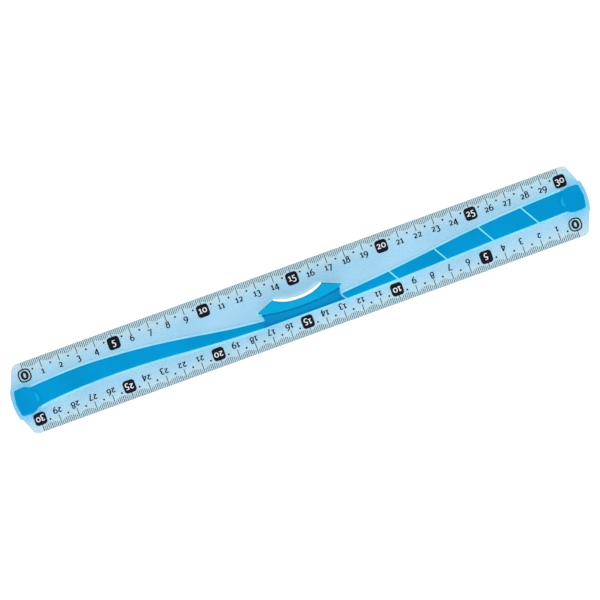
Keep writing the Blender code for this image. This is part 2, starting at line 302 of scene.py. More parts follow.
def grown(outline, distance):
    """A counter-clockwise outline moved outwards by a distance, or by one distance for each point."""
    distances = distance if isinstance(distance, list) else [distance] * len(outline)
    neighbours = zip(outline[-1:] + outline[:-1], outline, outline[1:] + outline[:1], distances)
    made = []
    for before, here, after, reach in neighbours:
        normals = []
        for start, end in ((before, here), (here, after)):
            length = math.dist(start, end)
            normals.append(((end[1] - start[1]) / length, (start[0] - end[0]) / length))
        (ax, ay), (bx, by) = normals
        mitre = reach / max(1 + ax * bx + ay * by, MITRE_LIMIT)
        made.append((here[0] + (ax + bx) * mitre, here[1] + (ay + by) * mitre))
    return made


def soft_outline(node):
    """A soft piece seen from above, grown to fill its pocket."""
    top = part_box(node)[1].z / MM
    return grown(smooth_outline(flat_outlines(node, top)[0]), GROWTH)


def steps(start, end, size):
    """Even steps from start to end, each about size long."""
    count = max(1, round(abs(end - start) / size))
    return [start + (end - start) * i / count for i in range(count + 1)]


# Solids --------------------------------------------------------------------------------------------------


def new_object(name, mesh):
    made = bpy.data.objects.new(name, mesh)
    bpy.context.scene.collection.objects.link(made)
    return made


def plate_top(y):
    """The body's top: flat in the middle, sloping down to both ruling edges."""
    fall = (PLATE_HEIGHT - EDGE_HEIGHT) / (HALF_WIDTH - BEVEL_FROM)
    return PLATE_HEIGHT - fall * max(0.0, abs(y) - BEVEL_FROM)


def slab(name, outline, low, high, round_low=0.0, round_high=0.0, cuts=(), shaped=None, reach=None):
    """A solid over an outline with rounded edges.

    cuts are (axis, place) planes that divide its faces, shaped(x, y, z) gives each point's final height,
    and reach(x, y) scales the rounding where the outline is narrow.
    """
    rings = []
    angles = [math.pi / 2 * i / 4 for i in range(5)]
    for angle in angles if round_low else angles[-1:]:
        rings.append((round_low * (1 - math.sin(angle)), low + round_low * (1 - math.cos(angle))))
    for angle in reversed(angles if round_high else angles[-1:]):
        rings.append((round_high * (1 - math.sin(angle)), high - round_high * (1 - math.cos(angle))))
    work = bmesh.new()
    scale = [reach(x, y) if reach else 1.0 for x, y in outline]
    levels = []
    for inset, z in rings:
        ring = grown(outline, [-inset * share for share in scale])
        levels.append([work.verts.new((x, y, z)) for x, y in ring])
    count = len(outline)
    for lower, upper in zip(levels, levels[1:]):
        for i in range(count):
            j = (i + 1) % count
            side = work.faces.new((lower[i], lower[j], upper[j], upper[i]))
            side.smooth = True
    work.faces.new(reversed(levels[0]))
    work.faces.new(levels[-1])
    for axis, place in cuts:
        normal = Vector((1, 0, 0)) if axis == "x" else Vector((0, 1, 0))
        everything = list(work.verts) + list(work.edges) + list(work.faces)
        bmesh.ops.bisect_plane(work, geom=everything, dist=1e-5, plane_co=normal * place, plane_no=normal)
    for vert in work.verts:
        if shaped:
            vert.co.z = shaped(*vert.co)
        vert.co *= MM
    mesh = bpy.data.meshes.new(name)
    work.to_mesh(mesh)
    work.free()
    return mesh


def combined(name, base, operations):
    """The base mesh after a list of (boolean operation, other mesh), as one mesh."""
    target = new_object(name, base)
    others = []
    for i, (operation, mesh) in enumerate(operations):
        other = new_object(f"{name}_tool_{i}", mesh)
        others.append(other)
        modifier = target.modifiers.new(f"{operation}_{i}", "BOOLEAN")
        modifier.operation = operation
        modifier.solver = "EXACT"
        modifier.material_mode = "TRANSFER"
        modifier.object = other
    graph = bpy.context.evaluated_depsgraph_get()
    result = bpy.data.meshes.new_from_object(target.evaluated_get(graph))
    for made in [target, *others]:
        bpy.data.objects.remove(made, do_unlink=True)
    return result


def add_piece(name, mesh, finish=None, nodes=()):
    """A piece that rides on the body and stands for CAD nodes. With no finish it keeps its mesh's own."""
    if finish:
        mesh.materials.clear()
        mesh.materials.append(finish)
    piece = new_object(name, mesh)
    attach(piece, BODY)
    if nodes:
        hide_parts(*nodes)
    return piece


# Materials -----------------------------------------------------------------------------------------------


class Nodes:
    """A small writer for node materials: every call adds a node and returns its output socket."""

    def __init__(self, name):
        self.material = bpy.data.materials.new(name)
        self.material.use_nodes = True
        self.tree = self.material.node_tree
        self.shader = self.tree.nodes["Principled BSDF"]
        place = self.tree.nodes.new("ShaderNodeTexCoord")
        self.place = place.outputs["Object"]

    def link(self, value, socket):
        if isinstance(value, bpy.types.NodeSocket):
            self.tree.links.new(value, socket)
        else:
            socket.default_value = value

    def setting(self, name, value):
        self.link(value, self.shader.inputs[name])

    def noise(self, size, detail=3.0, stretch=(1, 1, 1)):
        """Noise whose features are about size millimetres across, stretched along the axes."""
        mapping = self.tree.nodes.new("ShaderNodeMapping")
        mapping.inputs["Scale"].default_value = [1 / (size * MM * part) for part in stretch]
        texture = self.tree.nodes.new("ShaderNodeTexNoise")
        texture.inputs["Scale"].default_value = 1.0
        texture.inputs["Detail"].default_value = detail
        self.tree.links.new(self.place, mapping.inputs["Vector"])
        self.tree.links.new(mapping.outputs["Vector"], texture.inputs["Vector"])
        return texture.outputs["Fac"]

    def span(self, value, from_low, from_high, to_low=0.0, to_high=1.0):
        """The value carried from one range to another, held at its ends, with a soft start and stop."""
        node = self.tree.nodes.new("ShaderNodeMapRange")
        node.interpolation_type = "SMOOTHSTEP"
        names = ("Value", "From Min", "From Max", "To Min", "To Max")
        for name, part in zip(names, (value, from_low, from_high, to_low, to_high)):
            self.link(part, node.inputs[name])
        return node.outputs["Result"]

    def math(self, operation, *values):
        node = self.tree.nodes.new("ShaderNodeMath")
        node.operation = operation
        for socket, value in zip(node.inputs, values):
            self.link(value, socket)
        return node.outputs["Value"]

    def mix(self, share, one, two):
        node = self.tree.nodes.new("ShaderNodeMix")
        node.data_type = "RGBA"
        self.link(share, node.inputs["Factor"])
        self.link(one, node.inputs["A"])
        self.link(two, node.inputs["B"])
        return node.outputs["Result"]

    def xyz(self, socket):
        node = self.tree.nodes.new("ShaderNodeSeparateXYZ")
        self.tree.links.new(socket, node.inputs["Vector"])
        return [node.outputs[axis] for axis in "XYZ"]

    def facing(self):
        """The way the surface faces, as its y and z parts."""
        geometry = self.tree.nodes.new("ShaderNodeNewGeometry")
        return self.xyz(geometry.outputs["Normal"])[1:]

    def bump(self, height, strength, depth):
        node = self.tree.nodes.new("ShaderNodeBump")
        node.inputs["Strength"].default_value = strength
        node.inputs["Distance"].default_value = depth * MM
        self.tree.links.new(height, node.inputs["Height"])
        self.setting("Normal", node.outputs["Normal"])


def color(red, green, blue):
    return (red, green, blue, 1.0)


def beside_grip(nodes, x, y):
    """Where the plate gets a painted pale glow behind the grip: 0 at the window to 1 at the wing's sides,
    and how near it is.
    """
    out = nodes.math("ABSOLUTE", x)
    share = nodes.math("DIVIDE", x, WINDOW_HALF * MM)
    square = nodes.math("MULTIPLY", share, share)
    rise = nodes.math("MULTIPLY", square, (WINDOW_BACK_Y - WINDOW_MIDDLE_Y) * MM)
    window = nodes.math("ADD", rise, WINDOW_MIDDLE_Y * MM)
    slant = (GRIP_HIGH.y - TIP_Y) / (TIP_X - WING_CORNER_X)
    wing_start = (GRIP_HIGH.y + slant * WING_CORNER_X) * MM
    wing = nodes.math("SUBTRACT", wing_start, nodes.math("MULTIPLY", out, slant))
    away = nodes.math("ABSOLUTE", nodes.math("SUBTRACT", y, nodes.math("MINIMUM", window, wing)))
    sides = [place * MM for place in GLOW_SIDES]
    side = nodes.span(out, *sides)
    reach = nodes.span(out, *sides, GLOW_REACH[0] * MM, GLOW_REACH[1] * MM)
    near = nodes.span(away, 0.0, reach, 1.0, 0.0)
    inside = nodes.span(out, TIP_X * MM, (TIP_X + GLOW_END) * MM, 1.0, 0.0)
    return side, nodes.math("MULTIPLY", near, inside)


def across_end(nodes, x, y):
    """The place across the ruler, measured from the middle line of the nearer end."""
    return nodes.math("SUBTRACT", y, nodes.math("MULTIPLY", nodes.math("SIGN", x), END_SHIFT * MM))


def clear_material():
    """Hard see-through plastic with fine hairline wear.

    It is light blue and paler along the bevels. A painted pale glow lies behind the grip, and a painted
    blue glow of the caps deepens it near them.
    """
    nodes = Nodes("clear_blue_plastic")
    x, y, _ = nodes.xyz(nodes.place)
    along = nodes.math("SUBTRACT", nodes.math("ABSOLUTE", x), CAP_CENTRE_X * MM)
    across = across_end(nodes, x, y)
    along_square = nodes.math("MULTIPLY", along, along)
    across_square = nodes.math("MULTIPLY", across, across)
    from_cap = nodes.math("SQRT", nodes.math("ADD", along_square, across_square))
    cloud = nodes.span(nodes.noise(38.0, detail=1.0), 0.35, 0.65)
    tint = nodes.mix(cloud, color(0.435, 0.74, 0.93), color(0.475, 0.78, 0.97))
    thinner = nodes.span(nodes.math("ABSOLUTE", y), BEVEL_FROM * MM, HALF_WIDTH * MM, 0.0, 1.0)
    tint = nodes.mix(thinner, tint, color(0.64, 0.83, 0.91))
    # Painted glow: the plate's tint deepens near each cap, standing in for the caps' blue light in the
    # plastic.
    painted_cap_glow = nodes.span(from_cap, PAINTED_CAP_GLOW[0] * MM, PAINTED_CAP_GLOW[1] * MM, 1.0, 0.0)
    tint = nodes.mix(painted_cap_glow, tint, color(0.24, 0.70, 0.98))
    # Painted glow: a pale rim of light along the window's back edge and beside the wing.
    side, painted_glow = beside_grip(nodes, x, y)
    pale = nodes.mix(side, color(0.66, 0.93, 1.0), color(0.38, 0.94, 1.0))
    nodes.setting("Base Color", nodes.mix(painted_glow, tint, pale))
    hairline = nodes.noise(0.22, detail=2.0, stretch=(26, 1, 1))
    nodes.setting("Roughness", nodes.span(hairline, 0.5, 0.75, 0.035, 0.14))
    nodes.setting("Transmission Weight", 0.75)
    nodes.setting("IOR", 1.49)
    nodes.bump(nodes.noise(9.0, detail=2.0), 0.12, 0.05)
    return nodes.material


def between_fields(nodes):
    """Where the lips cross the band as ribs between its right fields, which get the brightest painted glow.
    """
    x, y, _ = nodes.xyz(nodes.place)
    middle = nodes.math("ADD", nodes.math("MULTIPLY", x, FIELDS_LEAN), FIELDS_MIDDLE_Y * MM)
    half = nodes.math("ADD", nodes.math("MULTIPLY", x, FIELDS_SPREAD), FIELDS_HALF * MM)
    past = nodes.math("SUBTRACT", nodes.math("ABSOLUTE", nodes.math("SUBTRACT", y, middle)), half)
    inside = nodes.span(past, RIB_FADE[0] * MM, RIB_FADE[1] * MM, 1.0, 0.0)
    right_of_grip = nodes.math("GREATER_THAN", x, (TIP_X + 1.0) * MM)
    return nodes.math("MULTIPLY", inside, right_of_grip)


def lip_material():
    """The lips' thin edges with a painted glow: a brighter colour and a faint blue emission stand in for
    the light they gather.
    """
    nodes = Nodes("painted_glow_lip_plastic")
    cloud = nodes.span(nodes.noise(14.0, detail=2.0), 0.35, 0.65)
    edge = nodes.mix(cloud, color(0.27, 0.78, 1.0), color(0.32, 0.86, 1.0))
    # Painted glow: the ribs between the fields are painted brighter still.
    nodes.setting("Base Color", nodes.mix(between_fields(nodes), edge, color(0.19, 0.96, 1.0)))
    # Painted glow: the lips give off a faint blue light of their own.
    nodes.setting("Emission Color", color(0.0, 0.3, 1.0))
    nodes.setting("Emission Strength", 0.1)
    nodes.setting("Roughness", nodes.span(nodes.noise(1.2), 0.4, 0.7, 0.16, 0.3))
    nodes.setting("Specular IOR Level", 0.2)
    nodes.bump(nodes.noise(3.0), 0.1, 0.05)
    return nodes.material


def polished_arc(nodes, x, y):
    """How much painted highlight a cap gets just outside the middle of its inner arc."""
    across = across_end(nodes, x, y)
    share = nodes.math("DIVIDE", across, STRIP_HALF * MM)
    bend = nodes.math("MULTIPLY", nodes.math("MULTIPLY", share, share), CAP_ARC_RISE * MM)
    from_middle = nodes.math("SUBTRACT", nodes.math("ABSOLUTE", x), CAP_ARC_X * MM)
    outside = nodes.math("SUBTRACT", from_middle, bend)
    rise = nodes.span(outside, ARC_HIGHLIGHT_RISE[0] * MM, ARC_HIGHLIGHT_RISE[1] * MM)
    fall = nodes.span(outside, ARC_HIGHLIGHT_FALL[0] * MM, ARC_HIGHLIGHT_FALL[1] * MM, 1.0, 0.0)
    half = [place * MM for place in ARC_HIGHLIGHT_HALF]
    middle = nodes.span(nodes.math("ABSOLUTE", across), *half, ARC_HIGHLIGHT_MOST, 0.0)
    return nodes.math("MULTIPLY", nodes.math("MULTIPLY", rise, fall), middle)


def near_crease(nodes, x, y):
    """How much painted shade the crease gets: most along its curve, and none away from it."""
    share = nodes.math("DIVIDE", x, NECK_X * MM)
    curve = nodes.math("MULTIPLY", nodes.math("MULTIPLY", share, share), CREASE_RISE * MM)
    line = nodes.math("ADD", curve, CREASE_MIDDLE_Y * MM)
    away = nodes.math("ABSOLUTE", nodes.math("SUBTRACT", y, line))
    return nodes.span(away, CREASE_SHADE_FADE[0] * MM, CREASE_SHADE_FADE[1] * MM, CREASE_SHADE_MOST, 0.0)


def soft_material(name, deep, light, edge, steepest=0.93, arc_highlight=None, crease=None, rear_shade=None, front=None):
    """Satin soft-touch rubber: slow colour change, painted shade on rolled edges and a fine even grain.

    steepest is how upright a face's normal is where the painted edge shade starts. The last four are
    the colours of a cap's painted arc highlight, and of the painted shade in the grip's crease, along
    its rear edges and at its front.
    """
    nodes = Nodes(name)
    cloud = nodes.span(nodes.noise(30.0, detail=2.0), 0.35, 0.65)
    shade = nodes.mix(cloud, color(*deep), color(*light))
    backward, upward = nodes.facing()
    # Painted shade: the colour darkens where the surface turns away from straight up, on rolled edges.
    shade = nodes.mix(nodes.span(upward, 0.2, steepest, 1.0, 0.0), shade, color(*edge))
    x, y, _ = nodes.xyz(nodes.place)
    if arc_highlight:
        # Painted highlight: a lighter band along the cap's inner arc.
        shade = nodes.mix(polished_arc(nodes, x, y), shade, color(*arc_highlight))
    # Painted shade in the crease between the foot and the wing.
    if crease:
        shade = nodes.mix(near_crease(nodes, x, y), shade, color(*crease))
    # Painted shade on faces that turn backwards, along the wing's rear edges.
    if rear_shade:
        shade = nodes.mix(nodes.span(backward, -0.55, 0.25), shade, color(*rear_shade))
    # Painted shade: darker towards the foot's front, where it meets the band.
    if front:
        near = nodes.span(y, GRIP_LOW.y * MM, (GRIP_LOW.y + FRONT_SHADE_FADE) * MM, 1.0, 0.0)
        shade = nodes.mix(near, shade, color(*front))
    nodes.setting("Base Color", shade)
    nodes.setting("Roughness", nodes.span(nodes.noise(2.5), 0.35, 0.7, 0.4, 0.56))
    nodes.setting("Specular IOR Level", 0.03)
    nodes.bump(nodes.noise(0.18, detail=4.0), 0.18, 0.02)
    return nodes.material


def ink_material(name, one, two):
    """Printed ink with slightly uneven cover."""
    nodes = Nodes(name)
    cover = nodes.span(nodes.noise(0.7), 0.35, 0.7)
    nodes.setting("Base Color", nodes.mix(cover, color(*one), color(*two)))
    nodes.setting("Roughness", nodes.span(nodes.noise(0.5), 0.35, 0.7, 0.4, 0.6))
    nodes.setting("Specular IOR Level", 0.1)
    nodes.bump(nodes.noise(0.3), 0.15, 0.01)
    return nodes.material


def floor_material():
    """A white table that glows by itself, so that it shows only faint shadows."""
    nodes = Nodes("pale_floor")
    grain = nodes.noise(60.0, detail=2.0)
    nodes.setting("Base Color", nodes.mix(grain, color(0.38, 0.38, 0.38), color(0.40, 0.40, 0.40)))
    nodes.setting("Roughness", 0.85)
    nodes.setting("Specular IOR Level", 0.1)
    nodes.setting("Emission Color", color(1.0, 1.0, 1.0))
    nodes.setting("Emission Strength", FLOOR_GLOW)
    return nodes.material


# Grip ----------------------------------------------------------------------------------------------------


def crease_y(x):
    return CREASE_MIDDLE_Y + CREASE_RISE * (x / NECK_X) ** 2


def neck_x(y):
    """Half the foot's width, narrowest at the neck."""
    if y < NECK_Y:
        return NECK_X + FOOT_FLARE * ((NECK_Y - y) / (NECK_Y - GRIP_LOW.y)) ** 2
    return NECK_X + NECK_LEAN * ((y - NECK_Y) / (CREASE_END_Y - NECK_Y)) ** 2


def crest_rise(x):
    """How far the foot rises at the crease."""
    end_share = min(1.0, max(0.0, (NECK_X + FOOT_FLARE - abs(x)) / END_FALL))
    return FOOT_RISE * end_share**END_POWER


def root_top(x, y, z):
    """The root's top lies just under the foot's crest."""
    return z if z < FOOT_FRONT_TOP else FOOT_FRONT_TOP + crest_rise(x) - GROOVE_DEPTH


def foot_top(x, y, z):
    """The foot's top rises in a cove from the band to the crease, and less so near its ends."""
    share = min(1.0, max(0.0, (y - GRIP_LOW.y) / (crease_y(x) - GRIP_LOW.y)))
    top = FOOT_FRONT_TOP + crest_rise(x) * share**COVE_POWER
    depth = FOOT_FRONT_TOP - z
    return top - depth if depth < 2 * FOOT_ROUNDING else z


def wing_height(x, y, z):
    """Carries a flat plate with its top at WING_THICK to the wing's slope, thinning it towards the tips."""
    share = min(1.0, max(0.0, (abs(x) - THIN_FROM) / (NECK_X - THIN_FROM)))
    thick = WING_THICK + (TIP_THICK - WING_THICK) * share
    return CREASE_Z + WING_SLOPE * (y - crease_y(x)) - (WING_THICK - z) * thick / WING_THICK


def foot_outline():
    """The foot as far back as the crease's groove."""
    sides = [(neck_x(y) + GROWTH, y) for y in steps(GRIP_LOW.y - GROWTH, CREASE_END_Y, NECK_STEP)]
    back = [(x, crease_y(x) + GROOVE_FRONT) for x in steps(NECK_X, -NECK_X, CREASE_STEP)]
    return sides + back + [(-x, y) for x, y in reversed(sides)]


def root_back():
    end_x = NECK_X - ROOT_INSET
    return [(x, crease_y(x) + FOOT_BEHIND_CREASE) for x in steps(end_x, -end_x, CREASE_STEP)]


def root_outline():
    """The hidden root that carries the wing behind the crease."""
    end_x = neck_x(CREASE_END_Y)
    front = [(x, crease_y(x) + ROOT_FRONT) for x in steps(-end_x, end_x, CREASE_STEP)]
    return front + [(end_x, CREASE_END_Y)] + root_back() + [(-end_x, CREASE_END_Y)]


def grip_pocket_outline():
    """The foot with its hidden root, as its pocket holds it."""
    sides = [(neck_x(y), y) for y in steps(GRIP_LOW.y, CREASE_END_Y, NECK_STEP)]
    return sides + root_back() + [(-x, y) for x, y in reversed(sides)]


def wing_outline():
    """The wing from the crease's groove back to the scoop, its two corners and its two tips."""
    corner_y = GRIP_HIGH.y
    front = [(x, crease_y(x) + GROOVE_BACK) for x in steps(-WING_FREE_FROM, WING_FREE_FROM, CREASE_STEP)]
    rise = corner_y - SCOOP_MIDDLE_Y
    line = steps(SCOOP_HALF, -SCOOP_HALF, SCOOP_STEP)
    scoop = [(x, SCOOP_MIDDLE_Y + rise * (abs(x) / SCOOP_HALF) ** SCOOP_POWER) for x in line]
    right = [(TIP_X, TIP_FRONT_Y), (TIP_X, TIP_Y), (WING_CORNER_X, corner_y)]
    left = [(-x, y) for x, y in reversed(right)]
    return rounded(front + right + scoop + left, WING_CORNER_RADIUS, WING_CORNER_TURN)


def foot_share(x, y):
    """The foot's front edge keeps its whole rounding, and its sides only a little."""
    return 1.0 if y < GRIP_LOW.y and abs(x) < NECK_X else SEAM_ROUNDING


def tip_share(x, y):
    """How much of the edge rounding fits at a place on the wing."""
    least, past, whole = TIP_ROUNDING
    return min(1.0, max(least, (TIP_X + past - abs(x)) / whole))


def seam_share(x, y):
    """How much of its rounding a pad's edge keeps: little where it meets a cap, the band or the grip."""
    shift = math.copysign(END_SHIFT, x)
    from_arc = abs(abs(x) - CAP_ARC_X - CAP_ARC_RISE * ((y - shift) / STRIP_HALF) ** 2)
    from_neck = abs(abs(x) - neck_x(y)) if x < 0 else SEAM_FADE
    away = min(from_arc, from_neck) - GROWTH - SEAM_WIDTH
    return SEAM_ROUNDING + (1 - SEAM_ROUNDING) * min(1.0, max(0.0, away) / SEAM_FADE)


def grid(x_reach, y_low, y_high):
    """Cuts that give a slab enough points to bend."""
    cuts = [("x", place) for place in steps(-x_reach, x_reach, GRID_SIZE)]
    return cuts + [("y", place) for place in steps(y_low, y_high, GRID_SIZE)]


def grip_mesh(shaded_foot_finish, lit_wing_finish):
    """The foot, the wing and the root between them, joined as one skin."""
    foot_cuts = grid(NECK_X + GRID_PAST_NECK, GRIP_LOW.y + GRID_INSET, CREASE_MIDDLE_Y + CREASE_RISE)
    foot = slab(
        "grip_foot", foot_outline(), SOFT_BOTTOM, FOOT_FRONT_TOP, 0.0, FOOT_ROUNDING,
        cuts=foot_cuts, shaped=foot_top, reach=foot_share,
    )
    foot.materials.append(shaded_foot_finish)
    root_cuts = [("x", place) for place in steps(-NECK_X, NECK_X, CREASE_STEP)]
    root_height = CREASE_Z - GROOVE_DEPTH
    root = slab("grip_root", root_outline(), SOFT_BOTTOM, root_height, cuts=root_cuts, shaped=root_top)
    root.materials.append(shaded_foot_finish)
    wing_low, wing_high = CREASE_MIDDLE_Y + GRID_PAST_CREASE, GRIP_HIGH.y - GRID_INSET
    wing_cuts = grid(TIP_X - GRID_INSET, wing_low, wing_high)
    wing = slab(
        "grip_wing", wing_outline(), 0.0, WING_THICK, WING_UNDER_ROUNDING, GRIP_ROUNDING,
        cuts=wing_cuts, shaped=wing_height, reach=tip_share,
    )
    wing.materials.append(lit_wing_finish)
    return combined("grip", foot, [("UNION", root), ("UNION", wing)])


# Body ----------------------------------------------------------------------------------------------------


def bevelled(x, y, z):
    """Lowers the flat plate's top to its slope outside the middle."""
    return z if z < EDGE_HEIGHT / 2 else z - PLATE_HEIGHT + plate_top(y)


def plate_mesh(outlines):
    """The clear plate with the caps' rims, its pockets and its finger window."""
    edge, window_edge = [smooth_outline(outline) for outline in flat_outlines("ruler_body", 0.0)[:2]]
    window = rounded(window_edge, WINDOW_CORNER)
    cuts = [("y", BEVEL_FROM), ("y", -BEVEL_FROM)]
    plate = slab("plate", edge, 0.0, PLATE_HEIGHT, PLATE_ROUNDING, PLATE_ROUNDING, cuts, bevelled)
    changes = []
    for name in CAPS:
        rim_edge = grown(outlines[name], LIP_REACH)
        rim = slab(f"{name}_rim", rim_edge, RIM_BOTTOM, LIP_TOP, 0.0, LIP_ROUNDING)
        changes.append(("UNION", rim))
    for name, outline in outlines.items():
        pocket = slab(f"{name}_pocket", grown(outline, PLAY), POCKET_FLOOR, CUTTER_TOP)
        changes.append(("DIFFERENCE", pocket))
    changes.append(("DIFFERENCE", slab("window", window, CUTTER_BOTTOM, CUTTER_TOP)))
    return combined("plate", plate, changes)


def lip_mesh(outlines):
    """The raised lip round the band's and the grip's pockets, with the ribs between the fields."""
    pads, holes = [], []
    for name, outline in outlines.items():
        if name in CAPS:
            holes.append(slab(f"{name}_hole", grown(outline, LIP_REACH + PLAY), RIM_BOTTOM, CUTTER_TOP))
        else:
            edge = rounded(grown(outline, LIP_REACH), LIP_CORNER)
            pads.append(slab(f"{name}_pad", edge, LIP_BOTTOM, LIP_TOP, 0.0, LIP_ROUNDING))
            holes.append(slab(f"{name}_hole", grown(outline, PLAY), RIM_BOTTOM, CUTTER_TOP))
    operations = [("UNION", pad) for pad in pads[1:]] + [("DIFFERENCE", hole) for hole in holes]
    return combined("lips", pads[0], operations)


# Print ---------------------------------------------------------------------------------------------------
# A shape is (points, faces): points are (x, y, level), where level 0 is the underside and 1 the top.


def filled(outline):
    count = len(outline)
    points = [(x, y, 0) for x, y in outline] + [(x, y, 1) for x, y in outline]
    sides = [(i, (i + 1) % count, (i + 1) % count + count, i + count) for i in range(count)]
    return points, [tuple(reversed(range(count))), tuple(range(count, 2 * count)), *sides]


def strip(left, right, closed=False):
    """A flat strip between two lines of points that run side by side."""
    count = len(left)
    points = []
    for a, b in zip(left, right):
        points += [(*a, 0), (*b, 0), (*a, 1), (*b, 1)]
    faces = []
    for i in range(count if closed else count - 1):
        a = 4 * i
        b = 4 * ((i + 1) % count)
        faces += [
            (a, b, b + 1, a + 1), (a + 2, a + 3, b + 3, b + 2),
            (a, a + 2, b + 2, b), (a + 1, b + 1, b + 3, a + 3),
        ]
    if not closed:
        last = 4 * (count - 1)
        faces += [(0, 1, 3, 2), (last, last + 2, last + 3, last + 1)]
    return points, faces


def oval(radii, power=2.0, count=40):
    """A closed oval; a power above 2 squares it off."""
    points = []
    for i in range(count):
        angle = 2 * math.pi * i / count
        parts = (math.cos(angle), math.sin(angle))
        points.append(tuple(
            radius * math.copysign(abs(part) ** (2 / power), part) for radius, part in zip(radii, parts)
        ))
    return points


def moved(shape, dx, dy, size=1.0):
    points, faces = shape
    return [(x * size + dx, y * size + dy, level) for x, y, level in points], faces


def turned(shape):
    """The shape on the lower scale, which is the upper one turned by half a turn."""
    points, faces = shape
    return [(-x, -y, level) for x, y, level in points], faces


def arc(centre, radii, start, end, count=12):
    """Points on an arc, with angles in degrees."""
    angles = [math.radians(start + (end - start) * i / count) for i in range(count + 1)]
    return [(centre[0] + radii[0] * math.cos(a), centre[1] + radii[1] * math.sin(a)) for a in angles]


# The digits' strokes, in units of the low digits' height: 0, 1 and 2 are low, 3, 4, 5, 7 and 9 hang below
# the line, and 6 and 8 rise above. Each digit has its width and its strokes, and a stroke that closes on
# itself ends with True.
DIGITS = {
    "0": (0.92, [(arc((0.46, 0.49), (0.36, 0.42), 90, 450, 28)[:-1], True)]),
    "1": (0.66, [
        ([(0.06, 0.77), (0.20, 0.83), (0.33, 0.92)], False),
        ([(0.35, 1.0), (0.35, 0.5), (0.35, 0.02)], False),
        ([(0.04, 0.06), (0.35, 0.06), (0.66, 0.06)], False),
    ]),
    "2": (0.84, [
        (arc((0.39, 0.66), (0.27, 0.26), 160, -30, 14) + [(0.46, 0.36), (0.26, 0.18), (0.10, 0.06)], False),
        ([(0.07, 0.06), (0.40, 0.06), (0.76, 0.06)], False),
    ]),
    "3": (0.78, [
        (arc((0.35, 0.68), (0.26, 0.25), 155, -90, 16), False),
        (arc((0.33, 0.07), (0.34, 0.35), 95, -145, 18), False),
    ]),
    "4": (0.94, [
        ([(0.60, 0.98), (0.34, 0.56), (0.07, 0.10)], False),
        ([(0.04, 0.08), (0.45, 0.08), (0.88, 0.08)], False),
        ([(0.63, 1.0), (0.63, 0.3), (0.63, -0.36)], False),
    ]),
    "5": (0.78, [
        ([(0.18, 0.93), (0.42, 0.93), (0.70, 0.93)], False),
        ([(0.22, 0.98), (0.20, 0.70), (0.17, 0.40)], False),
        ([(0.15, 0.44)] + arc((0.34, 0.09), (0.34, 0.38), 85, -140, 16), False),
    ]),
    "6": (0.90, [
        (arc((0.45, 0.40), (0.34, 0.34), 90, 450, 28)[:-1], True),
        ([(0.11, 0.40), (0.13, 0.66), (0.24, 0.93), (0.42, 1.14), (0.68, 1.30)], False),
    ]),
    "7": (0.82, [
        ([(0.01, 0.92), (0.40, 0.92), (0.82, 0.92)], False),
        ([(0.75, 0.97), (0.52, 0.32), (0.30, -0.34)], False),
    ]),
    "8": (0.84, [
        (arc((0.42, 1.01), (0.25, 0.26), 90, 450, 24)[:-1], True),
        (arc((0.42, 0.39), (0.33, 0.34), 90, 450, 28)[:-1], True),
    ]),
    "9": (0.90, [
        (arc((0.44, 0.59), (0.34, 0.34), 90, 450, 28)[:-1], True),
        ([(0.78, 0.60), (0.76, 0.34), (0.65, 0.06), (0.46, -0.16), (0.20, -0.32)], False),
    ]),
}


def eased(points):
    """An open line with three more points on each run, on a smooth curve."""
    vectors = [Vector(point) for point in points]
    last = len(vectors) - 1
    slopes = [(vectors[min(i + 1, last)] - vectors[max(i - 1, 0)]) for i in range(last + 1)]
    slopes = [slope / 2 if 0 < i < last else slope for i, slope in enumerate(slopes)]
    line = []
    for i in range(last):
        for part in range(4):
            t = part / 4
            line.append(tuple(
                vectors[i] * (1 + 2 * t) * (1 - t) ** 2 + slopes[i] * t * (1 - t) ** 2
                + vectors[i + 1] * t * t * (3 - 2 * t) - slopes[i + 1] * t * t * (1 - t)
            ))
    return line + [tuple(vectors[-1])]


def pen_stroke(points, closed, thin, thick):
    """A pen line that is thick where it runs up and down and thin where it runs across.

    An open line of a few points is made smooth first.
    """
    if not closed and len(points) < FEW_POINTS:
        points = eased(points)
    count = len(points)
    left, right = [], []
    for i, (x, y) in enumerate(points):
        before = points[i - 1] if closed or i else points[0]
        after = points[(i + 1) % count] if closed or i < count - 1 else points[-1]
        way = Vector(after) - Vector(before)
        way.normalize()
        half = (thin + (thick - thin) * abs(way.y)) / 2
        left.append((x - way.y * half, y + way.x * half))
        right.append((x + way.y * half, y - way.x * half))
    return strip(left, right, closed)


def outward_mesh(name, points, faces):
    """A mesh of closed shells with every face turned outwards."""
    mesh = bpy.data.meshes.new(name)
    mesh.from_pydata(points, [], faces)
    work = bmesh.new()
    work.from_mesh(mesh)
    bmesh.ops.recalc_face_normals(work, faces=work.faces)
    work.to_mesh(mesh)
    work.free()
    return mesh


def digit_shapes(thin, thick):
    """Every digit as one clean flat solid, drawn with one pen."""
    made = {}
    for digit, (width, strokes) in DIGITS.items():
        meshes = []
        for points, closed in strokes:
            corners, faces = pen_stroke(points, closed, thin, thick)
            meshes.append(outward_mesh(f"digit_{digit}", corners, faces))
        mesh = combined("digit", meshes[0], [("UNION", other) for other in meshes[1:]])
        points = [tuple(v.co) for v in mesh.vertices]
        made[digit] = (width, (points, [tuple(face.vertices) for face in mesh.polygons]))
    return made


def number(text, digits, middle, base, height):
    """The shapes of a whole number centred on a mark."""
    widths = [digits[letter][0] for letter in text]
    total = sum(widths) + GLYPH_SPACE * (len(text) - 1)
    pen = middle - total * height / 2
    shapes = []
    for letter, width in zip(text, widths):
        shapes.append(moved(digits[letter][1], pen, base, height))
        pen += (width + GLYPH_SPACE) * height
    return shapes


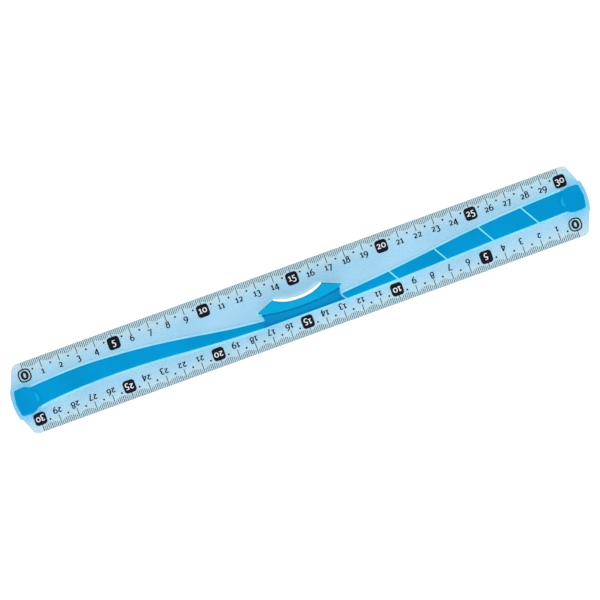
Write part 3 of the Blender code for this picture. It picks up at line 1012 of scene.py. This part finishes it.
def print_piece(name, shapes, level, finish):
    """Merges flat shapes into one thin printed piece that follows the body's top."""
    points, faces = [], []
    for shape_points, shape_faces in shapes:
        first = len(points)
        for x, y, side in shape_points:
            z = plate_top(y) + INK_LIFT + level * (INK_THICK + INK_LIFT) + side * INK_THICK
            points.append((x * MM, y * MM, z * MM))
        faces += [tuple(first + i for i in face) for face in shape_faces]
    return add_piece(name, outward_mesh(name, points, faces), finish)


def tick(mm):
    """One graduation mark, longer in the middle between two centimetre marks."""
    x = mm - SCALE_MM / 2
    phase = mm % 10
    if mm % 50 == 0:
        end, width = BOXED_TICK_END, CM_TICK_WIDTH
    elif phase == 0:
        end, width = CM_TICK_END, CM_TICK_WIDTH
    else:
        reach = SHORT_TICK + (LONG_TICK - SHORT_TICK) * math.sin(math.pi * (phase - 1) / 8)
        end, width = TICK_START - reach, TICK_WIDTH
    left, right = x - width / 2, x + width / 2
    return filled([(left, end), (right, end), (right, TICK_START), (left, TICK_START)])


def rounded_box(size, corner):
    """A rectangle with arcs for corners, centred on the origin."""
    x, y = size[0] / 2 - corner, size[1] / 2 - corner
    outline = []
    for centre, start in (((x, y), 0), ((-x, y), 90), ((-x, -y), 180), ((x, -y), 270)):
        outline += arc(centre, (corner, corner), start, start + 90, 7)
    return outline


def upper_scale():
    """The upper scale's pieces: name, shapes, level and ink."""
    digits = digit_shapes(*PEN)
    box_digits = digit_shapes(*BOX_PEN)
    box = filled(rounded_box(BOX_SIZE, BOX_CORNER))
    dot = filled(oval((DOT_RADIUS, DOT_RADIUS), count=16))
    zero_x = -SCALE_MM / 2
    marks = [tick(mm) for mm in range(SCALE_MM + 1)]
    dots = [moved(dot, zero_x + mm, DOT_Y) for mm in range(5, SCALE_MM, 10)]
    boxes, box_numbers, numbers = [], [], []
    for centimetre in range(1, SCALE_MM // 10 + 1):
        x = zero_x + 10 * centimetre
        if centimetre % 5 == 0:
            boxes.append(moved(box, x, BOX_Y))
            box_numbers += number(str(centimetre), box_digits, x, BOX_NUMBER_BASE_Y, BOX_NUMBER_HEIGHT)
        else:
            numbers += number(str(centimetre), digits, x, NUMBER_BASE_Y, NUMBER_HEIGHT)
    outer = oval(ZERO_RING, RING_POWER)
    inner = oval([radius - ZERO_RING_LINE for radius in ZERO_RING], RING_POWER)
    inside = filled(oval([radius - ZERO_RING_LINE - DISC_GAP for radius in ZERO_RING], RING_POWER))
    ring = moved(strip(outer, inner, closed=True), zero_x, ZERO_Y)
    zero = moved(strip(oval(ZERO_OVAL, ZERO_POWER), oval(ZERO_HOLE), closed=True), zero_x, ZERO_Y)
    return [
        ("ticks", marks, 0, "ink"), ("dots", dots, 0, "ink"), ("number_boxes", boxes, 0, "ink"),
        ("box_numbers", box_numbers, 1, "white"), ("numbers", numbers, 0, "ink"),
        ("zero_ring", [ring], 0, "ink"), ("zero_disc", [moved(inside, zero_x, ZERO_Y)], 0, "pale"),
        ("zero", [zero], 1, "ink"),
    ]


# Stage ---------------------------------------------------------------------------------------------------


def make_floor():
    mesh = bpy.data.meshes.new("floor")
    signs = ((-1, -1), (1, -1), (1, 1), (-1, 1))
    corners = [(x * FLOOR_HALF, y * FLOOR_HALF, -FLOOR_DROP) for x, y in signs]
    mesh.from_pydata(corners, [], [(0, 1, 2, 3)])
    mesh.materials.append(floor_material())
    floor = new_object("floor", mesh)


def make_light():
    """White walls all round, a darker ceiling, and one broad soft light in front."""
    world = bpy.data.worlds.new("studio")
    world.use_nodes = True
    tree = world.node_tree
    way = tree.nodes.new("ShaderNodeTexCoord").outputs["Generated"]

    def facing(direction, start, end, low, high):
        """A value that grows from low to high as the view turns towards a direction."""
        dot = tree.nodes.new("ShaderNodeVectorMath")
        dot.operation = "DOT_PRODUCT"
        dot.inputs[1].default_value = Vector(direction).normalized()
        tree.links.new(way, dot.inputs[0])
        ramp = tree.nodes.new("ShaderNodeMapRange")
        ramp.interpolation_type = "SMOOTHSTEP"
        for name, value in (("From Min", start), ("From Max", end), ("To Min", low), ("To Max", high)):
            ramp.inputs[name].default_value = value
        tree.links.new(dot.outputs["Value"], ramp.inputs["Value"])
        return ramp.outputs["Result"]

    total = tree.nodes.new("ShaderNodeMath")
    total.operation = "ADD"
    tree.links.new(facing((0, 0, 1), *CEILING), total.inputs[0])
    tree.links.new(facing(*KEY_LIGHT), total.inputs[1])
    background = tree.nodes["Background"]
    background.inputs["Color"].default_value = color(1.0, 1.0, 1.0)
    tree.links.new(total.outputs["Value"], background.inputs["Strength"])
    bpy.context.scene.world = world


def make_camera():
    data = bpy.data.cameras.new("camera")
    data.sensor_width = SENSOR_WIDTH
    data.lens = SENSOR_WIDTH * CAMERA_HEIGHT / VIEW_WIDTH
    data.clip_end = 50.0
    camera = bpy.data.objects.new("camera", data)
    camera.location = (0.0, 0.0, CAMERA_HEIGHT)
    camera.rotation_euler = (0.0, 0.0, CAMERA_TURN)
    bpy.context.scene.collection.objects.link(camera)
    bpy.context.scene.camera = camera
    bpy.context.scene.view_settings.view_transform = "Standard"


# The whole object ----------------------------------------------------------------------------------------


def make_ruler():
    soft_nodes = ["left_inlay", *(f"right_inlay_{i}" for i in range(1, 6)), *CAPS]
    outlines = {node: soft_outline(node) for node in soft_nodes}
    pockets = {**outlines, "grip": grown(grip_pocket_outline(), GROWTH)}

    band = soft_material(
        "soft_band_rubber", (0.0003, 0.315, 0.665), (0.0003, 0.35, 0.745), (0.002, 0.28, 0.58),
    )
    cap = soft_material(
        "soft_cap_rubber", (0.0003, 0.315, 0.69), (0.0003, 0.35, 0.77), (0.002, 0.28, 0.58),
        arc_highlight=(0.012, 0.5, 0.88),
    )
    # The foot and the wing are one rubber: the foot's darker colours are painted shade, the wing's lighter
    # ones painted light.
    shaded_foot_finish = soft_material(
        "grip_foot_shaded_rubber", (0.0005, 0.25, 0.565), (0.0005, 0.275, 0.605), (0.003, 0.22, 0.48), 0.7,
        crease=(0.001, 0.265, 0.585), front=(0.001, 0.21, 0.47),
    )
    lit_wing_finish = soft_material(
        "grip_wing_lit_rubber", (0.0005, 0.355, 0.665), (0.0005, 0.4, 0.735), (0.003, 0.3, 0.55), 0.7,
        crease=(0.001, 0.265, 0.585), rear_shade=(0.005, 0.32, 0.56),
    )
    for node, outline in outlines.items():
        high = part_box(node)[1].z / MM
        mesh = slab(f"{node}_pad", outline, SOFT_BOTTOM, high, 0.0, SOFT_ROUNDING, reach=seam_share)
        add_piece(f"{node}_pad", mesh, cap if node in CAPS else band, [node])

    add_piece("grip_skin", grip_mesh(shaded_foot_finish, lit_wing_finish), nodes=["grip"])
    add_piece("clear_plate", plate_mesh(pockets), clear_material(), ["ruler_body"])
    add_piece("inlay_lips", lip_mesh(pockets), lip_material(), ["ruler_body"])


def make_print():
    ink = ink_material("black_ink", (0.004, 0.005, 0.014), (0.008, 0.009, 0.022))
    white = ink_material("white_ink", (0.86, 0.92, 0.96), (0.93, 0.96, 0.99))
    pale = ink_material("pale_ink", (0.42, 0.64, 0.74), (0.47, 0.68, 0.78))
    inks = {"ink": ("print_ink", ink), "white": ("print_white", white), "pale": ("print_white", pale)}
    for name, shapes, level, kind in upper_scale():
        slot, finish = inks[kind]
        print_piece(f"upper_{name}", shapes, level, finish)
        print_piece(f"lower_{name}", [turned(shape) for shape in shapes], level, finish)


make_camera()
make_light()
make_floor()
make_ruler()
make_print()
